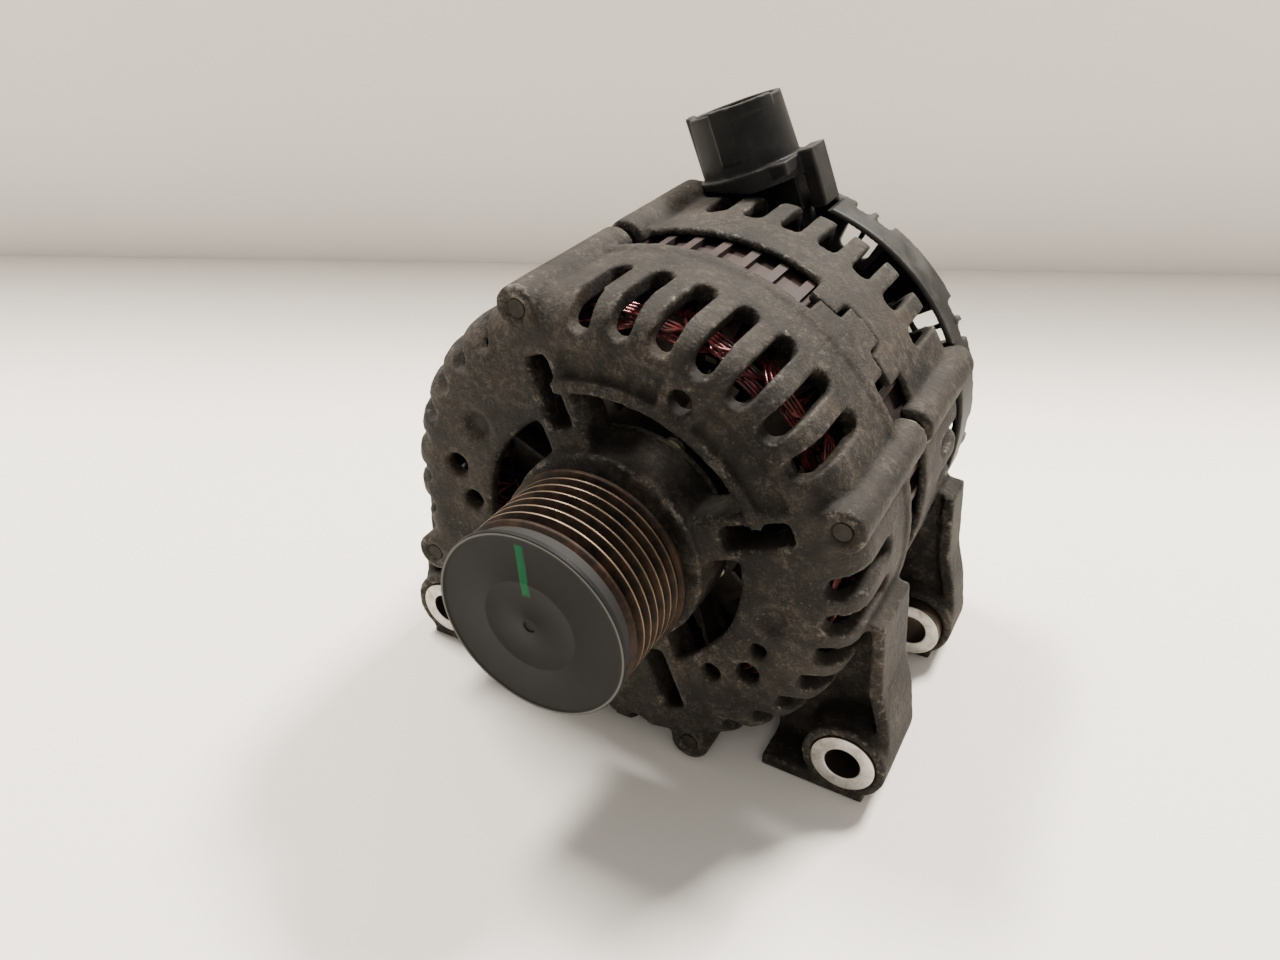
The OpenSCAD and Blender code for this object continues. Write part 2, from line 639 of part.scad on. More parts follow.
module terminal_frame() color(plastic) in_case() difference() {
    union() {
        for (a = spacer_a) polar(spacer_r, a) {
            rod(5.5, 106.4, 111);
            rod(5.5, 113.4, 116.4);
        }
        arc(37, 31, rect_a0 + 4, -55, 113.4, 115.6);
        arc(37, 31, -25, rect_a1 - 4, 113.4, 115.6);
        for (a = spacer_a) bar(a, 34, 44, 6, 113.4, 115.6);
        for (a = lead_a) bar(a, 34, lead_r + 2.4, 5, 113.4, 115);
        arc(30.5, 26.2, rect_a0 + 4, rect_a1 - 4, 106.4, 108);
    }
    rectifier_holes();
    for (a = lead_a) polar(lead_r, a) rod(1.1, 110, 120);
}

module rectifier_screws() color(steel) in_case() for (a = spacer_a) polar(spacer_r, a) {
    rod(2.5, 100, 116.4);
    difference() {
        rod(4, 116.4, 118.4);
        hexagon(1.8, 117.2, 119);
    }
}

// Battery stud with its hexagon head under the positive plate and a sleeve through the cover.
module battery_stud() color(steel) in_case() polar(stud_r, stud_a) {
    hexagon(6.6, 108.9, 111);
    rod(stud_core_r, 111, 133.5);
    rod(4, 133.4, 140);
    tube(8, 4, 113.4, 125.4);
}

module battery_nut() color(steel) in_case() polar(stud_r, stud_a) difference() {
    union() {
        rod(8.4, 125.4, 127);
        hexagon(7.5, 127, 133);
    }
    rod(stud_core_r, 120, 140);
}

front_bracket();
rear_bracket();
through_bolts();
front_bush_left();
front_bush_right();
rear_bush_left();
rear_bush_right();
stator_core();
winding_phase_u();
winding_phase_v();
winding_phase_w();
slot_wedges();
winding_leads();
rotor_shaft();
front_claw_pole();
rear_claw_pole();
field_coil();
coil_bobbin();
front_fan();
rear_fan();
slip_rings();
slip_ring_sleeve();
shaft_spacer();
front_bearing_outer_ring();
front_bearing_inner_ring();
front_bearing_balls();
front_bearing_cage();
front_bearing_seals();
bearing_retainer();
retainer_screws();
rear_bearing_outer_ring();
rear_bearing_inner_ring();
rear_bearing_balls();
rear_bearing_cage();
rear_bearing_sleeve();
pulley_ring();
pulley_cap();
pulley_hub();
clutch_rollers();
clutch_cage();
pulley_bearings();
rear_cover();
cover_posts();
cover_nuts();
connector_housing();
connector_pins();
regulator();
regulator_heat_sink();
regulator_screws();
brush_holder();
front_brush();
rear_brush();
brush_springs();
negative_heat_sink();
positive_heat_sink();
diodes();
terminal_frame();
rectifier_screws();
battery_stud();
battery_nut();
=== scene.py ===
import json
import math
import random

import bmesh
import bpy
import numpy as np
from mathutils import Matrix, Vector, noise


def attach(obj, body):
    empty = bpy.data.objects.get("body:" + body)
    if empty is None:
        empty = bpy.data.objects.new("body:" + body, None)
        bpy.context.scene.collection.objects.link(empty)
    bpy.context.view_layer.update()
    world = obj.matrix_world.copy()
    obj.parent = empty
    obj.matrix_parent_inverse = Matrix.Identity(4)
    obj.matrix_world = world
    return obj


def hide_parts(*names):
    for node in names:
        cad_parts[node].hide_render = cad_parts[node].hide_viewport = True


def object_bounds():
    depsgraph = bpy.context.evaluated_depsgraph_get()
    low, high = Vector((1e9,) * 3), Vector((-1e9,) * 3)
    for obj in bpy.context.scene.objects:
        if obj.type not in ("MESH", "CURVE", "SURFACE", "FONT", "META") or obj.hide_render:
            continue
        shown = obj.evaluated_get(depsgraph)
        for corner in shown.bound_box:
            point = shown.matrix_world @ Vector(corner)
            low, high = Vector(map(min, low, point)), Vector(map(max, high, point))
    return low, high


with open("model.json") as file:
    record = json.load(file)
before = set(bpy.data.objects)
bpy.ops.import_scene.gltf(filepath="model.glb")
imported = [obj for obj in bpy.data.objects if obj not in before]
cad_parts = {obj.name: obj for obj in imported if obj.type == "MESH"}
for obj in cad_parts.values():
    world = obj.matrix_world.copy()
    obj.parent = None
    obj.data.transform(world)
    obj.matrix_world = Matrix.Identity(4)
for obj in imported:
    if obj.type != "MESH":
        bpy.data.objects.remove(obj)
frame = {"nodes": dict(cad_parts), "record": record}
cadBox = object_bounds()
nodes = frame["nodes"]
mm = 0.001
faceY = 21.37     # the drive end bracket's front face, in mm along Y
print("frame loaded:", len(nodes), "CAD nodes")


def onCase(radius, angle, depth):
    # a point in metres: radius and angle about the shaft, depth behind the bracket's front face
    a = math.radians(angle)
    return Vector((radius * math.cos(a), faceY + depth, radius * math.sin(a))) * mm


# shader helpers

class Value:
    # wraps a node's output socket, so that sums are written as plain Python
    def __init__(self, finish, socket):
        self.finish = finish
        self.socket = socket

    def math(self, operation, *others, swapped=False):
        inputs = list(others) + [self] if swapped else [self] + list(others)
        return self.finish.add("ShaderNodeMath", {"operation": operation}, dict(enumerate(inputs)))

    def __add__(self, other):
        return self.math("ADD", other)

    def __radd__(self, other):
        return self.math("ADD", other)

    def __sub__(self, other):
        return self.math("SUBTRACT", other)

    def __rsub__(self, other):
        return self.math("SUBTRACT", other, swapped=True)

    def __mul__(self, other):
        return self.math("MULTIPLY", other)

    def __rmul__(self, other):
        return self.math("MULTIPLY", other)

    def __truediv__(self, other):
        return self.math("DIVIDE", other)

    def __pow__(self, other):
        return self.math("POWER", other)

    def step(self, low, high):
        # 0 below low, 1 above high, smooth between; low may be the larger one
        return self.finish.add("ShaderNodeMapRange", {"interpolation_type": "SMOOTHSTEP"},
                               {"Value": self, "From Min": low, "From Max": high})

    def most(self, other):
        return self.math("MAXIMUM", other)

    def least(self, other):
        return self.math("MINIMUM", other)


class Finish:
    # one material with its node tree; positions inside it are object coordinates in mm
    def __init__(self, name, **settings):
        self.material = bpy.data.materials.new(name)
        self.material.use_nodes = True
        self.tree = self.material.node_tree
        self.shader = self.tree.nodes["Principled BSDF"]
        for key, amount in settings.items():
            self.shader.inputs[key.replace("_", " ")].default_value = amount
        self.place = self.add("ShaderNodeVectorMath", {"operation": "SCALE"},
                              {0: self.add("ShaderNodeTexCoord", {}, {}, "Object"), "Scale": 1000.0})

    def add(self, kind, settings, inputs, output=0):
        node = self.tree.nodes.new(kind)
        for key, setting in settings.items():
            setattr(node, key, setting)
        for key, amount in inputs.items():
            if isinstance(amount, Value):
                self.tree.links.new(amount.socket, node.inputs[key])
            else:
                node.inputs[key].default_value = amount
        return Value(self, node.outputs[output])

    def noise(self, size, detail=3.0, roughness=0.55, place=None):
        # size is the width of one blotch in mm
        return self.add("ShaderNodeTexNoise", {}, {
            "Vector": place or self.place, "Scale": 1.0 / size, "Detail": detail, "Roughness": roughness})

    def grains(self, size, feature="F1"):
        return self.add("ShaderNodeTexVoronoi", {"feature": feature},
                        {"Vector": self.place, "Scale": 1.0 / size})

    def axes(self, place=None):
        split = self.add("ShaderNodeSeparateXYZ", {}, {0: place or self.place})
        outs = split.socket.node.outputs
        return [Value(self, outs[i]) for i in range(3)]

    def stretched(self, x, y, z):
        return self.add("ShaderNodeMapping", {}, {"Vector": self.place, "Scale": (x, y, z)})

    def facing(self):
        # the surface normal's three parts
        return self.axes(self.add("ShaderNodeNewGeometry", {}, {}, "Normal"))

    def marked(self, attribute):
        return self.add("ShaderNodeAttribute", {"attribute_name": attribute}, {}, "Fac")

    def mix(self, amount, first, second):
        node = self.tree.nodes.new("ShaderNodeMix")
        node.data_type = "RGBA"
        for socket, colour in ((node.inputs[6], first), (node.inputs[7], second)):
            if isinstance(colour, Value):
                self.tree.links.new(colour.socket, socket)
            else:
                socket.default_value = (*colour, 1.0)
        self.tree.links.new(amount.socket, node.inputs[0])
        return Value(self, node.outputs[2])

    def feed(self, socket, amount):
        if isinstance(amount, Value):
            self.tree.links.new(amount.socket, self.shader.inputs[socket])
        else:
            self.shader.inputs[socket].default_value = amount
        return self

    def relief(self, height, depth):
        # height 0..1, depth in mm
        bump = self.add("ShaderNodeBump", {}, {"Height": height, "Distance": depth * mm, "Strength": 1.0})
        return self.feed("Normal", bump)


def plainFinish(name, light, dark, blotch, roughness, metallic=0.0, grain=0.35, depth=0.01, sheen=0.5):
    # two close tones in soft blotches, a little spread in gloss, and fine grain
    f = Finish(name, Metallic=metallic, Specular_IOR_Level=sheen)
    tone = f.noise(blotch).step(0.3, 0.7)
    f.feed("Base Color", f.mix(tone, dark, light))
    f.feed("Roughness", tone * 0.12 + (roughness - 0.06))
    f.relief(f.noise(grain, 2.0), depth)
    return f.material


# finishes

castColours = {
    # grease is also the colour of the painted shade in crevices, see castFinish
    "greaseAndCreviceShade": (0.0050, 0.0038, 0.0029),
    "skin": (0.0180, 0.0152, 0.0122),
    "dust": (0.060, 0.0515, 0.0415),
    "bare": (0.18, 0.165, 0.140),
    "rust": (0.030, 0.017, 0.011),
}


def castFinish(name):
    c = castColours
    f = Finish(name, Specular_IOR_Level=0.22)
    broad, middle, fine = f.noise(30.0, 4.0), f.noise(5.0, 6.0, 0.7), f.noise(0.9, 3.0, 0.6)
    standOut = f.marked("standOut")
    up = f.facing()[2]
    toned = f.mix((broad * 0.5 + middle * 0.6).step(0.44, 0.66), c["greaseAndCreviceShade"], c["skin"])
    rusty = f.mix(f.noise(16.0, 4.0).step(0.55, 0.72) * 0.6, toned, c["rust"])
    # dust: an even film where the wall looks up, and mottled patches anywhere
    film = (up * 0.35 + f.noise(14.0, 5.0, 0.7) * 0.8).step(0.50, 0.95) * 0.25
    mottle = f.noise(2.4, 6.0, 0.85).step(0.46, 0.62) * f.noise(15.0, 4.0).step(0.40, 0.58) * 0.85
    grit = fine.step(0.50, 0.68) * middle.step(0.42, 0.58) * 0.45
    dustMask = film.most(mottle).most(grit)
    dusty = f.mix(dustMask, rusty, c["dust"])
    # painted shade: crevices, where the wall lies below its surroundings, are darkened towards the grease
    # colour; partly real grease, partly painted shade
    crevice = standOut.step(-0.10, -0.6)
    greasedAndShaded = f.mix(crevice * 0.85, dusty, c["greaseAndCreviceShade"])
    rubbed = (standOut.least(0.7) * 0.40 + f.noise(4.0, 5.0, 0.75) * 1.4 + fine * 0.3).step(1.10, 1.45)
    speck = fine.step(0.62, 0.75) * f.noise(9.0, 3.0).step(0.5, 0.65) * 0.35
    f.feed("Base Color", f.mix((rubbed * 0.7 + speck).least(0.75), greasedAndShaded, c["bare"]))
    f.feed("Metallic", rubbed * 0.5)
    f.feed("Roughness", dustMask * 0.15 + 0.74 - rubbed * 0.3 - (1 - middle).step(0.5, 0.7) * 0.16)
    f.relief(f.noise(0.8, 4.0, 0.7) * 0.6 + f.noise(3.0, 3.0) * 0.8 + (1 - f.grains(0.9)) * 0.3, 0.34)
    return f.material


def enamelFinish():
    f = Finish("winding enamel", Coat_Roughness=0.12, IOR=1.55)
    tone = f.noise(3.0, 4.0)
    worn = f.noise(9.0, 5.0, 0.7).step(0.52, 0.7)
    colour = f.mix(tone.step(0.35, 0.65), (0.060, 0.008, 0.010), (0.26, 0.055, 0.058))
    f.feed("Base Color", f.mix(worn * 0.6, colour, (0.035, 0.022, 0.017)))
    f.feed("Metallic", 0.45)
    f.feed("Roughness", worn * 0.25 + 0.32)
    f.feed("Coat Weight", 0.35 - worn * 0.3)
    f.relief(f.noise(0.5, 2.0), 0.015)
    return f.material


def coreFinish():
    # sheet edges show as fine lines across the axis
    f = Finish("stator laminations")
    x, y, z = f.axes()
    sheet = (y * (2 * math.pi / 0.5)).math("SINE") * 0.5 + 0.5
    patch = f.noise(8.0, 5.0, 0.65)
    ribTop = ((x * x + z * z) ** 0.5).step(68.4, 69.2)
    deep = f.mix(patch.step(0.35, 0.68), (0.010, 0.0045, 0.0035), (0.035, 0.015, 0.011))
    lit = f.mix(ribTop, deep, (0.062, 0.050, 0.040))
    f.feed("Base Color", f.mix(sheet * 0.3, lit, (0.012, 0.008, 0.006)))
    f.feed("Metallic", 0.25)
    f.feed("Roughness", 0.5 + patch * 0.3)
    f.relief(sheet * 0.5 + f.noise(0.7, 3.0), 0.08)
    return f.material


def pulleyFinish():
    f = Finish("pulley steel", Specular_IOR_Level=0.25)
    x, y, z = f.axes()
    radius = (x * x + z * z) ** 0.5
    turned = f.noise(0.22, 2.0, place=f.stretched(0.02, 1.0, 0.02))
    stain = f.noise(5.0, 5.0, 0.7)
    polished = radius.step(27.0, 27.09) * (stain * 0.7 + 0.4) * y.step(10.9, 10.3) * y.step(-10.4, -9.9)
    browned = f.mix(stain.step(0.35, 0.7), (0.011, 0.007, 0.005), (0.040, 0.022, 0.013))
    ground = f.mix(polished.least(1.0), browned, (0.27, 0.20, 0.14))
    collar = y.step(-12.2, -12.6)              # the smooth collar in front of the ribs is made darker
    f.feed("Base Color", f.mix(collar, ground, (0.014, 0.0138, 0.0135)))
    f.feed("Metallic", 0.55 - collar * 0.45)
    f.feed("Roughness", 0.52 - polished * 0.26 + stain * 0.12 + collar * 0.12)
    f.relief(turned + f.noise(0.9, 3.0) * 0.4, 0.03)
    return f.material


capMarks = {
    "strokeAngle": 92.0, "strokeFrom": 8.9, "strokeTo": 25.2, "strokeWidth": 1.0,
    "innerFade": 1.5, "outerFade": 1.0,
    "green": (0.004, 0.080, 0.032),
}


def capFinish():
    # satin moulded plastic, a faint ring, a brushed dab of green paint, and a painted highlight along the
    # edge bead
    m = capMarks
    f = Finish("cap plastic", IOR=1.45, Specular_IOR_Level=0.12)
    x, y, z = f.axes()
    wobble = f.noise(4.0, 2.0) * 1.0 - 0.5
    a = math.radians(m["strokeAngle"])
    along = x * math.cos(a) + z * math.sin(a)
    sideways = x * math.sin(a) - z * math.cos(a)
    across = (sideways + wobble * 0.5 + (along - m["strokeFrom"]) * 0.05).math("ABSOLUTE")
    innerEnd = along.step(m["strokeFrom"], m["strokeFrom"] + m["innerFade"])
    outerEnd = along.step(m["strokeTo"], m["strokeTo"] - m["outerFade"])
    inside = innerEnd * outerEnd
    edge = across + f.noise(0.9, 1.0) * 0.2
    paint = inside * edge.step(m["strokeWidth"] + 0.45, m["strokeWidth"] + 0.1) * y.step(-17.2, -17.6)
    bristles = f.noise(0.35, 2.0, place=f.stretched(1.0, 1.0, 0.06)).step(0.36, 0.5)
    tone = f.noise(16.0, 4.0)
    speck = (1 - f.grains(5.5)).step(0.955, 0.985) * f.noise(7.0).step(0.5, 0.62)
    shade = f.mix(tone.step(0.3, 0.75), (0.0080, 0.0080, 0.0078), (0.0120, 0.0118, 0.0114))
    radius = (x * x + z * z) ** 0.5
    # painted highlight: a thin band on the edge bead is lightened towards the pale dust colour
    rimHighlight = radius.step(26.7, 27.1) * radius.step(27.55, 27.3) * y.step(-17.4, -17.8) * 0.45
    dustAndRimHighlight = f.mix((speck * 0.35).most(rimHighlight), shade, (0.20, 0.20, 0.19))
    f.feed("Base Color", f.mix(paint * (bristles * 0.35 + 0.65), dustAndRimHighlight, m["green"]))
    f.feed("Roughness", tone * 0.12 + 0.50 + paint * 0.1)
    f.relief(f.noise(0.25, 2.0) * 0.25 + paint * 0.8, 0.03)
    return f.material


def coverFinish(name, dustAmount):
    f = Finish(name, IOR=1.5, Specular_IOR_Level=0.14)
    tone = f.noise(13.0, 5.0, 0.65)
    up = f.facing()[2]
    standOut = f.marked("standOut")
    dust = (up * 0.25 + tone).step(0.62, 0.95) * dustAmount
    shade = f.mix(tone.step(0.3, 0.7), (0.0065, 0.0067, 0.0067), (0.0145, 0.015, 0.015))
    edges = standOut.step(0.12, 0.4) * 0.35
    f.feed("Base Color", f.mix((dust + edges).least(0.8), shade, (0.062, 0.058, 0.052)))
    f.feed("Roughness", 0.46 + dust * 0.35 + tone * 0.1)
    f.relief(f.noise(0.35, 2.0) * 0.6 + f.noise(2.5, 2.0) * 0.4, 0.03)
    return f.material


def bushFinish():
    # turned face, bright with dark scratches; the bore is brown
    f = Finish("bush steel", Metallic=0.85)
    scratch = f.noise(0.5, 3.0, place=f.stretched(1.0, 1.0, 0.2))
    stain = f.noise(4.0, 5.0, 0.7)
    flat = f.facing()[1].math("ABSOLUTE").step(0.55, 0.9)
    bright = f.mix(stain.step(0.38, 0.75), (0.62, 0.60, 0.57), (0.33, 0.29, 0.24))
    f.feed("Base Color", f.mix(1 - flat, bright, (0.060, 0.043, 0.033)))
    f.feed("Roughness", 0.34 + stain * 0.25)
    f.relief(scratch, 0.03)
    return f.material


finishes = {
    "cast_aluminium": castFinish("cast aluminium"),
    "bush_steel": bushFinish(),
    "dark_steel": plainFinish(
        "oiled steel", (0.028, 0.024, 0.0195), (0.012, 0.0095, 0.0075), 3.0, 0.70, sheen=0.18),
    "core_iron": coreFinish(),
    "winding_enamel": enamelFinish(),
    "bare_copper": plainFinish("copper", (0.62, 0.27, 0.14), (0.36, 0.14, 0.07), 4.0, 0.32, 1.0),
    "wedge_board": plainFinish("wedge board", (0.060, 0.040, 0.020), (0.020, 0.012, 0.007), 2.0, 0.7),
    "pole_iron": plainFinish(
        "pole iron", (0.045, 0.038, 0.031), (0.016, 0.013, 0.011), 5.0, 0.5, 0.6, 0.6, 0.05),
    "fan_steel": plainFinish("fan sheet", (0.055, 0.046, 0.037), (0.020, 0.016, 0.013), 6.0, 0.55, 0.5),
    "bearing_steel": plainFinish(
        "bearing steel", (0.62, 0.61, 0.60), (0.50, 0.49, 0.47), 6.0, 0.16, 1.0, 0.3, 0.003),
    "seal_rubber": plainFinish("seal rubber", (0.03, 0.03, 0.03), (0.015, 0.015, 0.015), 2.0, 0.7),
    "pulley_steel": pulleyFinish(),
    "cap_plastic": capFinish(),
    "cover_plastic": coverFinish("cover plastic", 0.75),
    "bobbin_plastic": plainFinish("nylon", (0.60, 0.52, 0.34), (0.48, 0.40, 0.25), 5.0, 0.5),
    "heat_sink_aluminium": plainFinish(
        "aluminium sheet", (0.56, 0.55, 0.53), (0.40, 0.39, 0.37), 4.0, 0.38, 0.9),
    "carbon": plainFinish("carbon", (0.035, 0.034, 0.033), (0.015, 0.015, 0.015), 1.0, 0.6),
    "zinc_steel": plainFinish("zinc steel", (0.50, 0.47, 0.40), (0.30, 0.27, 0.22), 2.5, 0.36, 0.9),
}
slotOf = {part["node"]: part["material_slot"] for part in frame["record"]["subparts"]}
bodyOf = {node: body for body, group in frame["record"]["behaviour"]["bodies"].items() for node in group}
for name, obj in nodes.items():
    for place in obj.material_slots:
        place.material = finishes[slotOf[name]]
print("finishes made:", len(finishes))


# mesh helpers

def settle(name, mesh, node, sharpAngle=40.0):
    # makes the finished piece: it rides, is finished and stands in as its CAD node says
    obj = bpy.data.objects.new(name, mesh)
    bpy.context.collection.objects.link(obj)
    mesh.materials.clear()
    mesh.materials.append(finishes[slotOf[node]])
    mesh.shade_smooth()
    mesh.set_sharp_from_angle(angle=math.radians(sharpAngle))
    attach(obj, bodyOf[node])
    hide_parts(node)
    return obj


def baked(obj):
    # the object's mesh with its modifiers applied; the object itself goes
    graph = bpy.context.evaluated_depsgraph_get()
    mesh = bpy.data.meshes.new_from_object(obj.evaluated_get(graph))
    bpy.data.objects.remove(obj)
    return mesh


def softened(node, voxel, passes, faces=190000):
    # the CAD node's own shape with cast or moulded edges: rebuilt in small cells, then smoothed
    bm = bmesh.new()
    bm.from_mesh(nodes[node].data)
    bmesh.ops.remove_doubles(bm, verts=bm.verts, dist=2e-6)
    mesh = bpy.data.meshes.new(node + " skin")
    bm.to_mesh(mesh)
    bm.free()
    obj = bpy.data.objects.new(node + " skin", mesh)
    bpy.context.collection.objects.link(obj)
    cells = obj.modifiers.new("cells", "REMESH")
    cells.mode = "VOXEL"
    cells.voxel_size = voxel * mm
    rounding = obj.modifiers.new("rounding", "SMOOTH")
    rounding.factor = 0.5
    rounding.iterations = passes
    mesh = baked(obj)
    total = sum(len(p.vertices) - 2 for p in mesh.polygons)
    if total > faces:
        obj = bpy.data.objects.new(node + " skin", mesh)
        bpy.context.collection.objects.link(obj)
        thinning = obj.modifiers.new("thinning", "DECIMATE")
        thinning.ratio = faces / total
        mesh = baked(obj)
    print(node, "skin:", total, "triangles, kept", sum(len(p.vertices) - 2 for p in mesh.polygons))
    return mesh


def pointsOf(mesh):
    # places and normals of all points, as two arrays
    read = []
    for kind in ("co", "normal"):
        values = np.empty(len(mesh.vertices) * 3)
        mesh.vertices.foreach_get(kind, values)
        read.append(values.reshape(-1, 3))
    return read


def roughCast(mesh, lump, height):
    # slow unevenness of a sand-cast wall
    place, normal = pointsOf(mesh)
    lift = np.array([noise.noise(Vector(p) / (lump * mm)) for p in place]) * height * mm
    mesh.vertices.foreach_set("co", (place + normal * lift[:, None]).ravel())
    mesh.update()
    return mesh


def keptInside(mesh, node):
    # no point lies outside the box of the CAD node it stands for
    place = pointsOf(mesh)[0]
    own = pointsOf(nodes[node].data)[0]
    mesh.vertices.foreach_set("co", np.clip(place, own.min(0), own.max(0)).ravel())
    mesh.update()
    return mesh


def markStandOut(mesh, rounds):
    # stores how far each point stands out of its surroundings, in mm
    count = len(mesh.vertices)
    place, normal = pointsOf(mesh)
    ends = np.empty(len(mesh.edges) * 2, np.int64)
    mesh.edges.foreach_get("vertices", ends)
    a, b = ends[0::2], ends[1::2]
    share = np.maximum(np.bincount(a, minlength=count) + np.bincount(b, minlength=count), 1)
    calm = place.copy()
    for _ in range(rounds):
        calm = np.stack([(np.bincount(a, calm[b, i], count) + np.bincount(b, calm[a, i], count)) / share
                         for i in range(3)], axis=1)
    out = ((place - calm) * normal).sum(1) / mm
    mesh.attributes.new("standOut", "FLOAT", "POINT").data.foreach_set("value", out.astype(np.float32))
    return mesh


def spun(profile, steps=160, centre=(0.0, 0.0)):
    # profile: (radius, depth) pairs in mm, closed, turned about the shaft's axis or one beside it
    bm = bmesh.new()
    points = [bm.verts.new(((centre[0] + r) * mm, (faceY + z) * mm, centre[1] * mm)) for r, z in profile]
    edges = [bm.edges.new((points[i], points[(i + 1) % len(points)])) for i in range(len(points))]
    bmesh.ops.spin(bm, geom=points + edges, cent=(centre[0] * mm, 0, centre[1] * mm), axis=(0, 1, 0),
                   dvec=(0, 0, 0), angle=2 * math.pi, steps=steps, use_merge=True, use_duplicate=False)
    bmesh.ops.remove_doubles(bm, verts=bm.verts, dist=1e-7)
    bmesh.ops.recalc_face_normals(bm, faces=bm.faces)
    return bm


def rounded(corners, radius, steps=4, only=None):
    # the outline with its corners filleted; only lists the corners that are, all when None
    out = []
    for i, corner in enumerate(corners):
        p = Vector(corner)
        before, after = Vector(corners[i - 1]), Vector(corners[(i + 1) % len(corners)])
        reach = min(radius, (p - before).length * 0.45, (p - after).length * 0.45)
        if only is not None and i not in only:
            out.append(tuple(p))
            continue
        start, end = p + (before - p).normalized() * reach, p + (after - p).normalized() * reach
        for k in range(steps + 1):
            t = k / steps
            out.append(tuple(start * (1 - t) ** 2 + p * 2 * t * (1 - t) + end * t * t))
    return out


def meshOf(name, bm):
    mesh = bpy.data.meshes.new(name)
    bm.to_mesh(mesh)
    bm.free()
    return mesh


# castings

casting = {"voxel": 0.85, "passes": 5, "lump": 7.0, "height": 0.10, "markRounds": 10}


def makeCasting(node, name):
    c = casting
    mesh = softened(node, c["voxel"], c["passes"])
    roughCast(mesh, c["lump"], c["height"])
    keptInside(mesh, node)
    markStandOut(mesh, c["markRounds"])
    return settle(name, mesh, node, sharpAngle=70.0)


makeCasting("front_bracket", "driveEndBracketCasting")
makeCasting("rear_bracket", "rearBracketCasting")
print("castings made")


# windings

# Each phase has one coil per pole: a closed loop of wires that runs down one slot and back up the
# slot three further on, and arches over the core at both ends.
winding = {
    "slots": 48, "span": 3, "wireRadius": 0.52, "wirePitch": 1.75, "wires": 4,
    "coreFront": 32.0, "coreBack": 70.0,
    "layerRadii": {"u": 57.2, "v": 59.8, "w": 62.3}, "archHeight": 15.5, "archLean": 2.0,
}


def coilPath(phaseIndex, coil, wire, ringRadius):
    w = winding
    step = 360 / w["slots"]
    first = (phaseIndex + coil * w["span"]) * step
    last = first + w["span"] * step
    side = wire - (w["wires"] - 1) / 2
    shift = side * w["wirePitch"]                      # wires lie side by side along the arch
    inSlot = 57.5 + wire % 6 * 1.1
    rnd = random.Random(phaseIndex * 1000 + coil * 20 + wire)
    points = []
    for core, away in ((w["coreFront"], -1), (w["coreBack"], 1)):
        arch = []
        for k in range(11):
            t = k / 10
            lift = math.sin(math.pi * t)
            rise = w["archHeight"] * min(1.0, lift * 1.25) ** 0.8
            radius = ringRadius + (t - 0.5) * w["archLean"] + rnd.uniform(-0.05, 0.05)
            radius = inSlot + (radius - inSlot) * min(1.0, lift * 3)
            angle = first + (last - first) * t
            slide = shift * (1 - abs(2 * t - 1) ** 3)
            depth = core + away * (1.5 + rise * (0.62 + 0.085 * side)) + away * 0.2 * slide
            arch.append(onCase(radius, angle + math.degrees(slide * 0.75 / radius), depth))
        points += arch if away < 0 else arch[::-1]
    return points


def makeWinding(phase, index):
    w = winding
    curve = bpy.data.curves.new("winding phase " + phase, "CURVE")
    curve.dimensions = "3D"
    curve.bevel_depth = w["wireRadius"] * mm
    curve.bevel_resolution = 2
    curve.resolution_u = 1
    for coil in range(w["slots"] // w["span"]):
        for wire in range(w["wires"]):
            path = coilPath(index, coil, wire, w["layerRadii"][phase])
            spline = curve.splines.new("POLY")
            spline.points.add(len(path) - 1)
            spline.use_cyclic_u = True
            for point, place in zip(spline.points, path):
                point.co = (*place, 1.0)
    obj = bpy.data.objects.new("winding phase " + phase, curve)
    bpy.context.collection.objects.link(obj)
    mesh = baked(obj)
    settle("windingPhase" + phase.upper() + "Wires", mesh, "winding_phase_" + phase, sharpAngle=80.0)


for index, phase in enumerate("uvw"):
    makeWinding(phase, index)
print("windings made")


# pulley

pulley = {"bore": 19.7, "tip": 27.1, "ribs": 6, "pitch": 3.56, "firstRib": -21.37 - 3 * 3.56}


def makePulleyRing():
    p = pulley
    z0 = p["firstRib"]
    outline = [(p["bore"], -9.0), (p["bore"], -34.4), (20.8, -34.4), (20.8, -37.4), (25.6, -37.4),
               (26.0, -37.0), (26.0, z0 - 1.6), (p["tip"], z0 - 0.5)]
    # each groove's two flanks and its floor
    for k in range(p["ribs"]):
        outline += [(p["tip"] + lift, z0 + k * p["pitch"] + along)
                    for along, lift in ((0.35, 0), (1.33, -2.9), (2.23, -2.9), (3.21, 0))]
    z1 = z0 + p["ribs"] * p["pitch"]
    outline += [(p["tip"], z1 + 0.6), (26.3, z1 + 0.8), (28.4, z1 + 1.2), (28.4, -8.4),
                (22.0, -8.4), (22.0, -9.0)]
    bm = spun(rounded(outline, 0.35, 3, only=range(7, len(outline) - 3)), 192)
    settle("pulleyRingTurned", meshOf("pulley ring", bm), "pulley_ring", sharpAngle=35.0)


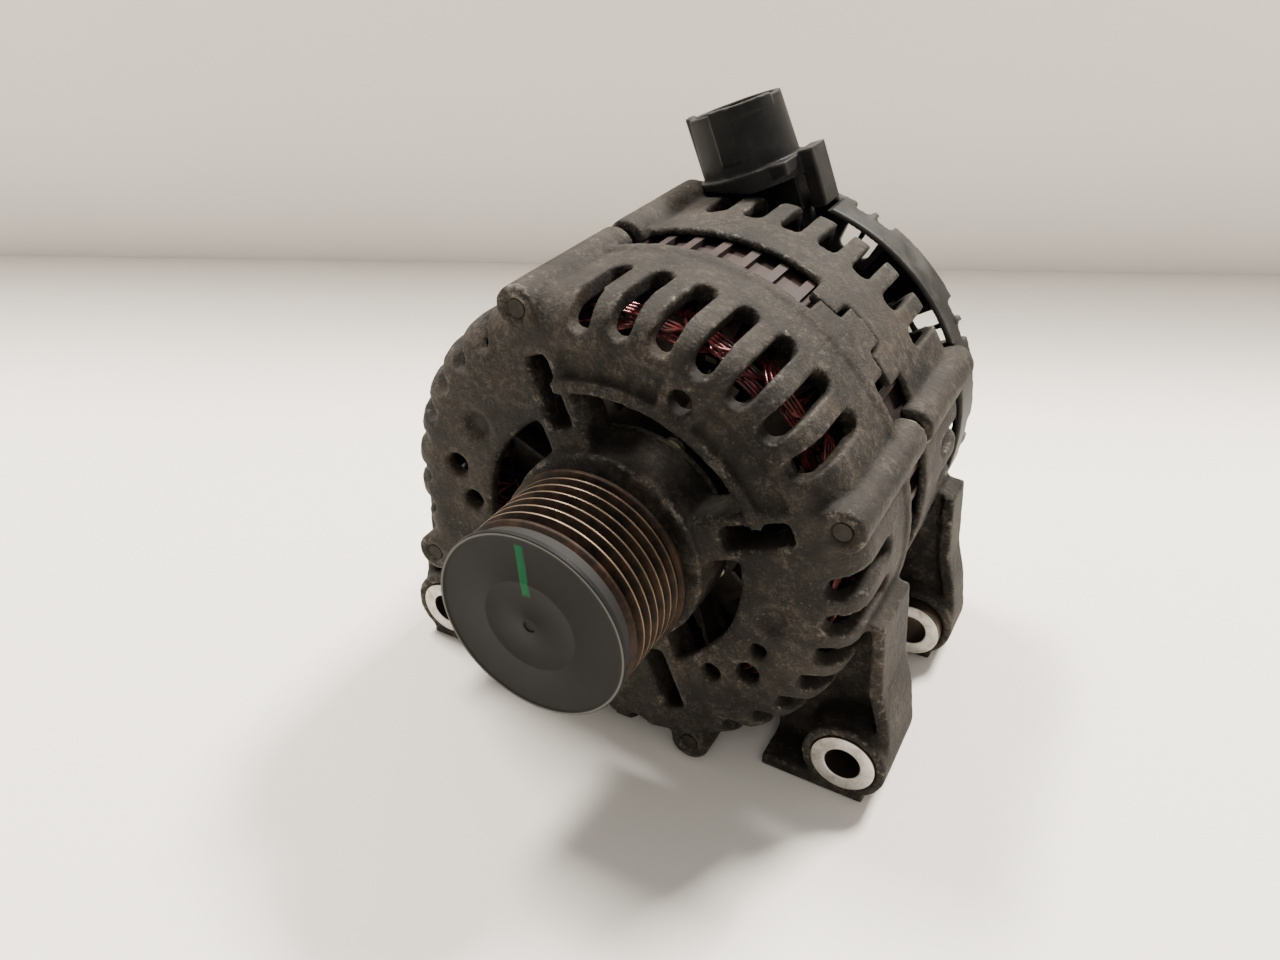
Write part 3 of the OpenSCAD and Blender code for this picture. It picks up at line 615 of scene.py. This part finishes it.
def makePulleyCap():
    # the disc's faint raised circle and its centre mark, and the edge bead, which the cap finish paints with
    # a highlight
    profile = [(0.0, -38.75), (1.6, -38.75), (1.8, -39.12), (2.6, -39.12), (2.75, -39.02), (12.9, -39.02),
               (13.2, -39.14), (13.8, -39.14), (14.1, -39.02), (25.9, -39.02), (26.5, -39.05), (26.8, -39.28),
               (27.1, -39.35), (27.45, -39.33), (27.68, -39.15), (27.74, -38.9), (27.74, -38.1),
               (27.5, -37.8),
               (27.2, -37.5), (20.7, -37.4), (20.7, -34.6), (19.3, -34.6), (19.3, -37.4), (0.0, -37.4)]
    bm = spun(profile, 192)
    bmesh.ops.remove_doubles(bm, verts=bm.verts, dist=1e-6)
    bmesh.ops.dissolve_degenerate(bm, edges=bm.edges, dist=1e-7)
    bmesh.ops.recalc_face_normals(bm, faces=bm.faces)
    settle("pulleyCapMoulded", meshOf("pulley cap", bm), "pulley_cap", sharpAngle=38.0)


makePulleyRing()
makePulleyCap()
print("pulley made")


# bushes

lug = {"x": 71.2, "drop": 59.2}
bushes = {
    "front_bush_right": (1, 9.6, 38.4, 9.75), "front_bush_left": (-1, 9.6, 38.4, 9.75),
    "rear_bush_right": (1, 76.0, 97.6, 9.8), "rear_bush_left": (-1, 76.0, 97.6, 9.8),
}
for node, (side, z0, z1, outer) in bushes.items():
    ring = [(5.25, z0), (outer, z0), (outer, z1), (5.25, z1)]
    bm = spun(rounded(ring, 0.6, 4), 72, (side * lug["x"], -lug["drop"]))
    settle(node + "_turned", meshOf(node, bm), node)
print("bushes made")


# cover and connector

def makeMoulding(node, name, voxel, passes):
    mesh = softened(node, voxel, passes)
    keptInside(mesh, node)
    markStandOut(mesh, 8)
    return settle(name, mesh, node, sharpAngle=50.0)


makeMoulding("rear_cover", "rearCoverMoulding", 0.8, 3)
makeMoulding("connector_housing", "connectorMoulding", 0.45, 3)
print("mouldings made")


# floor, wall, lights, camera

def plainStage(name, light, dark):
    f = Finish(name)
    f.feed("Base Color", f.mix(f.noise(420.0, 4.0).step(0.3, 0.75), light, dark))
    f.feed("Roughness", 0.7)
    f.relief(f.noise(30.0, 4.0), 0.1)
    return f.material


def quad(name, corners, material):
    bm = bmesh.new()
    bm.faces.new([bm.verts.new(c) for c in corners])
    mesh = meshOf(name, bm)
    mesh.materials.append(material)
    obj = bpy.data.objects.new(name, mesh)
    bpy.context.collection.objects.link(obj)
    return obj


floorZ = cadBox[0][2]
wallFoot = (Vector((-0.561, 0.186, floorZ)), Vector((0.173, 0.5535, floorZ)))
along = (wallFoot[1] - wallFoot[0]).normalized()
left, right = wallFoot[0] - along * 2.0, wallFoot[1] + along * 2.0
toCamera = Vector((along.y, -along.x, 0)) * 3.0
quad("table", [left, left + toCamera, right + toCamera, right],
     plainStage("table paint", (0.86, 0.815, 0.755), (0.81, 0.765, 0.70)))
quad("wall", [right, right + Vector((0, 0, 0.45)), left + Vector((0, 0, 0.45)), left],
     plainStage("wall paint", (0.95, 0.90, 0.84), (0.91, 0.86, 0.795)))


def areaLight(name, place, target, width, power, colour):
    data = bpy.data.lights.new(name, "AREA")
    data.shape = "RECTANGLE"
    data.size = width
    data.size_y = width * 0.6
    data.energy = power
    data.color = colour
    obj = bpy.data.objects.new(name, data)
    bpy.context.collection.objects.link(obj)
    obj.location = place
    obj.rotation_euler = (Vector(target) - Vector(place)).to_track_quat("-Z", "Y").to_euler()
    return obj


# place, target, width in m, power in W, colour
lights = {
    "window light": ((0.50, 1.35, 1.90), (0, 0.06, -0.02), 0.55, 158.0, (1.0, 0.955, 0.89)),
    "room light": ((-0.80, 0.30, 1.60), (0, 0.06, -0.02), 0.50, 68.0, (1.0, 0.955, 0.89)),
    "front fill": ((0.55, -1.0, 1.1), (0, 0.05, 0), 1.2, 3.5, (1.0, 0.98, 0.95)),
}
for name, values in lights.items():
    areaLight(name, *values)
world = bpy.data.worlds.new("pale room")
world.use_nodes = True
world.node_tree.nodes["Background"].inputs["Color"].default_value = (1.0, 0.965, 0.90, 1.0)
world.node_tree.nodes["Background"].inputs["Strength"].default_value = 0.50
bpy.context.scene.world = world

cameraData = bpy.data.cameras.new("camera")
cameraData.sensor_width = 36.0
cameraData.lens = 28.93
cameraData.clip_start = 0.01
camera = bpy.data.objects.new("camera", cameraData)
bpy.context.collection.objects.link(camera)
camera.location = (0.11931, -0.17570, 0.17116)
camera.rotation_euler = (math.radians(90 - 33.012), 0.0, math.radians(29.016))
bpy.context.scene.camera = camera
print("stage, lights and camera made")
